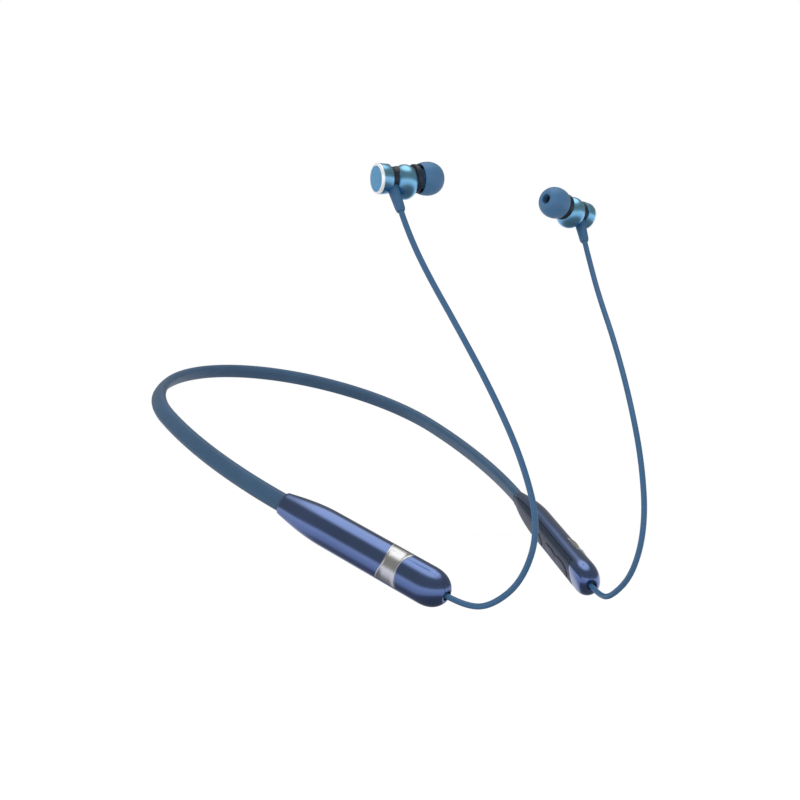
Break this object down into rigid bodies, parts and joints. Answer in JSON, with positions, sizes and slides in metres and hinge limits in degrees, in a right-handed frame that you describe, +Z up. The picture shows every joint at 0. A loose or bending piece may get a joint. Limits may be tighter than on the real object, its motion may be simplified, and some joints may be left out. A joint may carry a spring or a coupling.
{
  "type": "neckband earphones",
  "caption": "Wireless neckband earphones: sprung silicone neckband, a slim control pod and a battery pod, and corded in-ear buds with magnetic backs.",
  "frame": {"origin": "middle of the bow's inner face, where the band rests on the nape", "axes": "+Z up as worn, -Y the way the wearer faces, +X to the wearer's left"},
  "size_m": [0.1488, 0.2456, 0.1588],
  "materials": {
    "silicone": "smooth matt silicone",
    "spring_steel": "bright drawn wire and plated steel",
    "wire_insulation": "extruded insulation",
    "chrome_trim": "mirror plated",
    "cord_rubber": "satin moulded rubber",
    "disc_blue": "anodised, fine spun",
    "magnet_metal": "nickel plated",
    "bud_blue": "metallic lacquer",
    "dark_ring": "satin moulded",
    "mesh_metal": "woven wire",
    "driver_black": "moulded",
    "tip_silicone": "soft satin silicone",
    "shell_blue": "metallic lacquer under clear coat",
    "cover_grey": "satin painted",
    "switch_black": "moulded",
    "board_green": "solder mask",
    "port_metal": "tin plated",
    "lamp_clear": "clear moulded",
    "cell_foil": "laminated foil",
    "foam_black": "closed-cell foam"
  },
  "bodies": {
    "nape": {"nape_sheath": "silicone", "nape_spring_wire": "spring_steel", "nape_harness": "wire_insulation"},
    "left_arm": {"left_outer_shell": "shell_blue", "left_inner_cover": "cover_grey", "power_switch": "switch_black", "rocker_pin": "spring_steel", "volume_switches": "switch_black", "main_board": "board_green", "board_screws": "spring_steel", "bluetooth_chip": "driver_black", "charging_port": "port_metal", "charge_lamp": "lamp_clear", "microphone": "port_metal", "left_arm_sheath": "silicone", "left_arm_spring_wire": "spring_steel", "left_arm_harness": "wire_insulation", "left_saddle_trim": "chrome_trim", "left_cord_gland": "cord_rubber", "left_wire_crimp": "spring_steel", "left_back_disc": "disc_blue", "left_bevel_ring": "chrome_trim", "left_bud_magnet": "magnet_metal", "left_rear_housing": "bud_blue", "left_front_housing": "bud_blue", "left_tip_ring": "dark_ring", "left_nozzle_mesh": "mesh_metal", "left_driver": "driver_black", "left_cord_boot": "cord_rubber", "left_cord": "cord_rubber"},
    "right_arm": {"right_outer_shell": "shell_blue", "right_inner_cover": "cover_grey", "battery": "cell_foil", "battery_pad": "foam_black", "battery_board": "board_green", "right_arm_sheath": "silicone", "right_arm_spring_wire": "spring_steel", "right_arm_harness": "wire_insulation", "right_saddle_trim": "chrome_trim", "right_cord_gland": "cord_rubber", "right_wire_crimp": "spring_steel", "right_back_disc": "disc_blue", "right_bevel_ring": "chrome_trim", "right_bud_magnet": "magnet_metal", "right_rear_housing": "bud_blue", "right_front_housing": "bud_blue", "right_tip_ring": "dark_ring", "right_nozzle_mesh": "mesh_metal", "right_driver": "driver_black", "right_cord_boot": "cord_rubber", "right_cord": "cord_rubber"},
    "left_ear_tip": {"left_ear_tip": "tip_silicone"},
    "right_ear_tip": {"right_ear_tip": "tip_silicone"},
    "multifunction_button": {"multifunction_button": "cover_grey", "power_switch_plunger": "switch_black"},
    "volume_rocker": {"volume_rocker": "cover_grey"}
  },
  "joints": [
    {"name": "left_arm_flex", "type": "hinge", "parent": "nape", "child": "left_arm", "pos_m": [0.05454, -0.02192, -0.00895], "axis": [0, -0.4179, 0.9085], "range_deg": [-5, 15], "stiffness_Nm_per_rad": 0.8},
    {"name": "right_arm_flex", "type": "hinge", "parent": "nape", "child": "right_arm", "pos_m": [-0.05454, -0.02192, -0.00895], "axis": [0, 0.4179, -0.9085], "range_deg": [-5, 15], "stiffness_Nm_per_rad": 0.8},
    {"name": "left_ear_tip_pull", "type": "slide", "parent": "left_arm", "child": "left_ear_tip", "axis": [-0.9805, -0.1581, 0.1171], "range_m": [0, 0.008]},
    {"name": "right_ear_tip_pull", "type": "slide", "parent": "right_arm", "child": "right_ear_tip", "axis": [0.9805, -0.1581, 0.1171], "range_m": [0, 0.008]},
    {"name": "multifunction_button_press", "type": "slide", "parent": "left_arm", "child": "multifunction_button", "axis": [0.8203, -0.4612, 0.3382], "range_m": [0, 0.0003], "stiffness_N_per_m": 300},
    {"name": "volume_rocker_tilt", "type": "hinge", "parent": "left_arm", "child": "volume_rocker", "pos_m": [0.03997, -0.18162, -0.08422], "axis": [-0.4736, -0.2162, 0.8538], "range_deg": [-3, 3], "stiffness_Nm_per_rad": 0.02}
  ]
}
